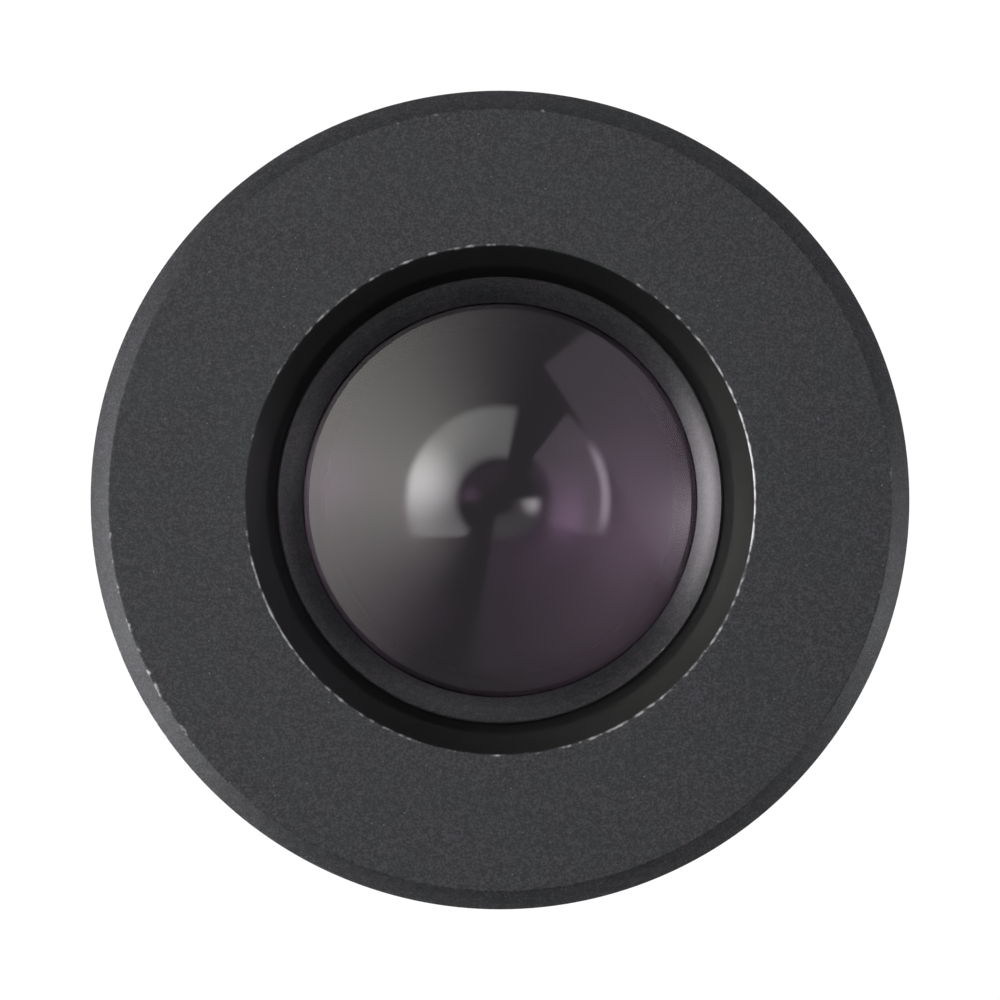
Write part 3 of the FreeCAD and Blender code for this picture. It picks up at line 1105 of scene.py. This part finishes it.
@dataclass
class SetScrews:
    """Three grub screws with hexagon sockets, which lock the barrel in the head."""

    radius: float = 0.98 * MM
    length: float = 2.0 * MM
    tip: float = 12.77 * MM
    height: float = 2.3 * MM
    socket: float = 0.9 * MM
    depth: float = 0.9 * MM
    point: float = 0.2 * MM
    chamfer: float = 0.08 * MM
    count: int = 3
    sides: int = 6
    cuts: int = 3

    def build(self) -> Piece:
        """Shape one screw about its own axis, then set copies round the head.

        Returns:
            The screws.
        """
        mesh = bmesh.new()
        around = self.sides * (self.cuts + 1)
        floor = bmesh.ops.create_circle(mesh, cap_ends=True, segments=self.sides,
                                        radius=self.socket / math.sqrt(3.0),
                                        matrix=Matrix.Translation((0.0, 0.0, self.length - self.depth)))
        mouth = self.raised(mesh, self.rim_of(mesh, floor["verts"]), self.depth, 1.0)
        cut = bmesh.ops.subdivide_edges(mesh, edges=mouth, cuts=self.cuts)
        hexagon = [edge for edge in cut["geom_split"] if isinstance(edge, Edge)
                   and all(abs(corner.co.z - self.length) < SAME_HEIGHT for corner in edge.verts)]
        outer = bmesh.ops.create_circle(mesh, cap_ends=False, segments=around,
                                        radius=self.radius - self.chamfer,
                                        matrix=Matrix.Translation((0.0, 0.0, self.length)))
        circle = self.rim_of(mesh, outer["verts"])
        bmesh.ops.bridge_loops(mesh, edges=hexagon + circle)
        wall = self.raised(mesh, circle, -self.chamfer, self.radius / (self.radius - self.chamfer))
        wall = self.raised(mesh, wall, self.point + self.chamfer - self.length, 1.0)
        tip = self.raised(mesh, wall, -self.point, (self.radius - self.point) / self.radius)
        bmesh.ops.contextual_create(mesh, geom=tip)
        bmesh.ops.recalc_face_normals(mesh, faces=mesh.faces)
        lay = Matrix.Translation((self.tip, 0.0, self.height)) @ Matrix.Rotation(math.radians(90.0), 4, "Y")
        bmesh.ops.transform(mesh, matrix=lay, verts=mesh.verts)
        first = mesh.verts[:] + mesh.edges[:] + mesh.faces[:]
        for number in range(1, self.count):
            copy = bmesh.ops.duplicate(mesh, geom=first)
            turn = Matrix.Rotation(math.tau * number / self.count, 3, "Z")
            bmesh.ops.rotate(mesh, cent=ORIGIN, matrix=turn, verts=corners_of(copy["geom"]))
        return finished(mesh, "set_screw_bodies")

    def rim_of(self, mesh: Mesh, corners: list[Corner]) -> list[Edge]:
        """Return the edges that join these corners."""
        known = set(corners)
        return [edge for edge in mesh.edges if all(corner in known for corner in edge.verts)]

    def raised(self, mesh: Mesh, edges: list[Edge], rise: float,
               spread: float) -> list[Edge]:
        """Extrude a closed row of edges.

        Args:
            mesh: The screw.
            edges: The row.
            rise: How far the new row lies above it.
            spread: Width of the new row as a share of the old one.

        Returns:
            The new row.
        """
        made = bmesh.ops.extrude_edge_only(mesh, edges=edges)["geom"]
        corners = corners_of(made)
        bmesh.ops.translate(mesh, verts=corners, vec=(0.0, 0.0, rise))
        bmesh.ops.scale(mesh, verts=corners, vec=(spread, spread, 1.0))
        return self.rim_of(mesh, corners)

    def dress(self, piece: Piece) -> None:
        """Give them blackened steel, a little greyer than the head."""
        finish = PlainFinish("screw_blackened_steel", (0.10, 0.10, 0.105), (0.17, 0.17, 0.175), 0.34,
                             metallic=0.85)
        place(piece, "set_screws", finish.material())


@dataclass
class InnerRings:
    """Rings that stay hidden inside: their solids are kept, and get finishes of their own."""

    def dress(self) -> None:
        """Dress each ring."""
        black = PlainFinish("inner_matt_black", (0.004, 0.004, 0.004), (0.009, 0.009, 0.009), 0.62, **DULL)
        stop = PlainFinish("stop_matt_black", (0.006, 0.006, 0.006), (0.014, 0.014, 0.014), 0.70, **DULL)
        rubber = PlainFinish("seal_black_rubber", (0.012, 0.012, 0.012), (0.024, 0.024, 0.023), 0.82)
        brass = PlainFinish("shim_rolled_brass", (0.60, 0.42, 0.17), (0.78, 0.57, 0.27), 0.30, metallic=1.0)
        film = PlainFinish("washer_black_film", (0.014, 0.014, 0.014), (0.028, 0.028, 0.028), 0.55, **DULL)
        inside = black.material()
        for node in ("eye_lens_spacer", "middle_lens_spacer", "lens_lock_ring", "stop_lock_ring"):
            dress_solid(node, inside)
        dress_solid("field_stop", stop.material())
        dress_solid("cap_seal", rubber.material())
        dress_solid("parfocal_shim", brass.material())
        dress_solid("field_lens_washer", film.material())


@dataclass(frozen=True)
class Softbox:
    """A soft studio light that faces the eye lens, and fades towards its edges.

    Its azimuth counts from +X and its polar angle from +Z, in degrees. Its width runs round the
    optical axis and its height towards it, before the roll.
    """

    name: str
    azimuth: float
    polar: float
    width: float
    height: float
    radiance: float
    colour: Colour = (1.0, 1.0, 1.0)
    roll: float = 0.0
    fade: float = 0.12
    distance: float = 0.5

    def build(self) -> None:
        """Hang the light and turn it towards the eye lens."""
        around, down = math.radians(self.azimuth), math.radians(self.polar)
        level = math.sin(down)
        back = Vector((level * math.cos(around), level * math.sin(around), math.cos(down)))
        turn = (-back).to_track_quat("-Z", "Y").to_matrix().to_4x4()
        turn = turn @ Matrix.Rotation(math.radians(self.roll), 4, "Z")
        place = Matrix.Translation(back * self.distance + Vector((0.0, 0.0, extent("eye_lens_crown").top)))
        hang_light(self.name, place @ turn, self.width, self.height, self.radiance, self.colour, self.share)

    def share(self, across: Term, along: Term) -> Term:
        """Fade towards the four edges.

        Args:
            across: Place across the panel, from 0 to 1.
            along: Place along it, from 0 to 1.

        Returns:
            Share of the full radiance.
        """
        fade = self.fade
        sides = across.step(0.0, fade) * (1.0 - across).step(0.0, fade)
        return sides * along.step(0.0, fade) * (1.0 - along).step(0.0, fade)


@dataclass(frozen=True)
class ArcLamp:
    """A lamp bent round the camera, which shines straight down on the eye lens.

    Lengths are shares of its height over the lens. Angles are in degrees: the middle of its arc
    counts from +X, and the arc reaches back and on from there, or all round where back is 180 or
    more. Nothing shines further than front towards -Y.
    """

    name: str
    inner: float
    outer: float
    middle: float
    back: float
    on: float
    radiance: float
    colour: Colour = (1.0, 1.0, 1.0)
    fade: float = 0.3
    inner_soft: float = 0.02
    outer_soft: float = 0.02
    front: float = 2.0
    front_soft: float = 0.012
    core: tuple[float, float] = (0.0, 0.0)
    core_size: float = 0.1
    core_gain: float = 0.0
    height: float = 0.35

    def build(self) -> None:
        """Hang the lamp level, with its middle on the optical axis."""
        side = 2.0 * self.outer * self.height
        place = Matrix.Translation((0.0, 0.0, extent("eye_lens_crown").top + self.height))
        hang_light(self.name, place, side, side, self.radiance, self.colour, self.share)

    def share(self, across: Term, along: Term) -> Term:
        """Cut the square panel down to an arc with a bright core.

        Args:
            across: Place across the panel, from 0 to 1.
            along: Place along it, from 0 to 1.

        Returns:
            Share of the full radiance.
        """
        right = (across - 0.5) * (2.0 * self.outer)
        up = (along - 0.5) * (2.0 * self.outer)
        radius = (right * right + up * up).root()
        ring = radius.step(self.inner - self.inner_soft, self.inner + self.inner_soft)
        ring = ring * (1.0 - radius.step(self.outer - 2.0 * self.outer_soft, self.outer))
        if self.back >= 180.0:
            return ring
        middle, back, on = (math.radians(angle) for angle in (self.middle, self.back, self.on))
        forward = right * math.cos(middle) + up * math.sin(middle)
        beside = up * math.cos(middle) - right * math.sin(middle)
        angle = beside.math("ARCTAN2", forward)
        arc = ring * (1.0 - angle.step(on * (1.0 - self.fade), on))
        arc = arc * angle.step(-back, -back * (1.0 - self.fade))
        if self.front < self.outer:
            arc = arc * (up + self.front).step(-self.front_soft, self.front_soft)
        if self.core_gain == 0.0:
            return arc
        aside, over = right - self.core[0], up - self.core[1]
        core = 1.0 - (aside * aside + over * over).root().step(0.0, self.core_size)
        return arc * (1.0 + self.core_gain * core)


def hang_light(name: str, place: Matrix, width: float, height: float, radiance: float, colour: Colour,
               share: Callable[[Term, Term], Term]) -> None:
    """Hang a panel light.

    Args:
        name: Its name.
        place: Its place and turn.
        width: Width, in metres.
        height: Height, in metres.
        radiance: Radiance of its brightest part.
        colour: Colour of its light.
        share: Gives the share of the radiance at a place on the panel.
    """
    data = bpy.data.lights.new(name, "AREA")
    data.shape = "RECTANGLE"
    data.size = width
    data.size_y = height
    data.energy = radiance * math.pi * width * height
    data.color = colour
    data.use_nodes = True
    tree = NodeTree(data.node_tree)
    across, along, _ = tree.split(tree.node("ShaderNodeNewGeometry", output="Parametric"))
    glow = tree.node("ShaderNodeEmission", sockets={"Strength": share(across, along)})
    tree.close("ShaderNodeOutputLight", glow)
    light = bpy.data.objects.new(name, data)
    light.matrix_world = place
    bpy.context.scene.collection.objects.link(light)
    light.visible_camera = False
    log.info("light %s", name)


@dataclass
class Studio:
    """Pale floor, plain soft light, and the camera above the eye well."""

    floor_size: float = 6.0
    floor_steps: int = 8
    paper: float = 1.2 * MM
    camera_distance: float = 0.370
    nearest: float = 0.01
    furthest: float = 10.0
    rim_share: float = 0.4095
    sensor: float = 36.0
    ambient: float = 0.16
    backdrop: float = 1.0

    def build(self) -> None:
        """Build the floor, the lights, the surroundings and the camera."""
        self.floor()
        self.surroundings()
        for light in self.lights():
            light.build()
        self.camera()
        self.light_paths()

    def lights(self) -> tuple[Softbox | ArcLamp, ...]:
        """List the lights.

        Returns:
            A large one up on the left, low ones on both sides, and lamps round the camera.
        """
        return (
            ArcLamp("ceiling_panel", -0.1, 1.4, 0.0, 200.0, 200.0, 0.27, height=0.38),
            ArcLamp("softbox_left", 0.20, 0.95, 168.0, 96.0, 80.0, 3.3, (1.0, 0.975, 0.915), fade=1.0,
                    inner_soft=0.08, outer_soft=0.08, height=0.36),
            ArcLamp("lamp_left", 0.14, 0.33, 146.0, 70.0, 84.0, 1.9, fade=0.10, inner_soft=0.02,
                    front=0.12, core=(-0.265, 0.07), core_size=0.17, core_gain=3.2, height=0.355),
            ArcLamp("lamp_right", 0.17, 0.385, 12.0, 36.0, 42.0, 0.8, (1.0, 0.86, 1.0), fade=0.08,
                    inner_soft=0.015, front=0.12),
            ArcLamp("lamp_right_edge", 0.345, 0.385, 8.0, 30.0, 28.0, 5.2, (1.0, 0.86, 1.0), fade=0.6,
                    inner_soft=0.02, front=0.12, height=0.345),
            ArcLamp("lamp_middle", 0.05, 0.15, 310.0, 62.0, 62.0, 0.6, (1.0, 0.92, 1.0), fade=0.3,
                    front=0.13, core=(0.108, -0.01), core_size=0.055, core_gain=8.5, height=0.34),
            Softbox("softbox_right", 12.0, 37.5, 0.58, 0.29, 0.62, (0.95, 0.82, 1.0), roll=18.4, fade=0.03),
            Softbox("softbox_right_end", 355.0, 37.0, 0.20, 0.18, 4.2, (1.0, 0.86, 0.97), fade=0.6,
                    distance=0.48),
            Softbox("softbox_left_low", 181.0, 74.5, 0.60, 0.24, 14.0, (1.0, 0.97, 1.0), fade=0.4),
            Softbox("softbox_left_floor", 208.0, 90.0, 0.26, 0.16, 18.0, fade=0.35, distance=0.48),
            Softbox("softbox_right_low", 346.0, 87.0, 0.26, 0.20, 11.0, fade=0.3),
            Softbox("softbox_back", 80.0, 78.0, 0.60, 0.26, 0.9, fade=0.3),
        )

    def floor(self) -> None:
        """Lay a pale floor under the barrel's end."""
        mesh = bmesh.new()
        lay = Matrix.Translation((0.0, 0.0, CAD_BOX[0].z))
        bmesh.ops.create_grid(mesh, x_segments=self.floor_steps, y_segments=self.floor_steps,
                              size=self.floor_size / 2.0, matrix=lay)
        floor = finished(mesh, "floor", flat_faces=False)
        shader = Shader("pale_floor")
        paper = shader.noise(self.paper, detail=3.0)
        tone = shader.mix(paper, (0.83, 0.83, 0.83), (0.87, 0.87, 0.87))
        matt = shader.node("ShaderNodeBsdfDiffuse", sockets={"Color": tone})
        bright = shader.mix(paper, (1.0, 1.0, 1.0), (1.05, 1.05, 1.05))
        glow = shader.node("ShaderNodeEmission", sockets={"Color": bright})
        seen = shader.node("ShaderNodeLightPath", output="Is Camera Ray")
        floor.data.materials.append(shader.output(
            shader.node("ShaderNodeMixShader", sockets={0: seen, 1: matt, 2: glow})))

    def surroundings(self) -> None:
        """Make the room dim, with a pale backdrop."""
        world = bpy.data.worlds.new("studio_room")
        bpy.context.scene.world = world
        world.use_nodes = True
        tree = NodeTree(world.node_tree)
        room = tree.node("ShaderNodeBackground", sockets={"Strength": self.ambient})
        backdrop = tree.node("ShaderNodeBackground", sockets={"Color": (1.0, 1.0, 1.0, 1.0),
                                                              "Strength": self.backdrop})
        seen = tree.node("ShaderNodeLightPath", output="Is Camera Ray")
        tree.close("ShaderNodeOutputWorld",
                   tree.node("ShaderNodeMixShader", sockets={0: seen, 1: room, 2: backdrop}))

    def camera(self) -> None:
        """Look straight down the optical axis, with +Y at the top of the picture."""
        reach = extent("eye_cap")
        widest = reach.top - EyeCap.chamfer
        data = bpy.data.cameras.new("camera")
        data.sensor_width = self.sensor
        data.lens = self.sensor * self.rim_share * self.camera_distance / reach.radius
        data.clip_start = self.nearest
        data.clip_end = self.furthest
        camera = bpy.data.objects.new("camera", data)
        bpy.context.scene.collection.objects.link(camera)
        camera.location = (0.0, 0.0, widest + self.camera_distance)
        bpy.context.scene.camera = camera

    def light_paths(self) -> None:
        """Let light cross the whole stack of lenses and come back, with plain colours."""
        scene = bpy.context.scene
        scene.cycles.max_bounces = 16
        scene.cycles.diffuse_bounces = 2
        scene.cycles.glossy_bounces = 6
        scene.cycles.transmission_bounces = 15
        scene.cycles.transparent_max_bounces = 32
        scene.cycles.caustics_refractive = False
        scene.cycles.caustics_reflective = False
        scene.view_settings.view_transform = "Standard"


def main() -> None:
    """Build and dress every piece, then the studio round them."""
    logging.basicConfig(level=logging.INFO, format="%(message)s")
    for part in (EyeCap(), HeadBody(), LensCell(), MountingBarrel(), SetScrews()):
        part.dress(part.build())
    LensStack().build()
    InnerRings().dress()
    Studio().build()


if __name__ == "__main__":
    main()
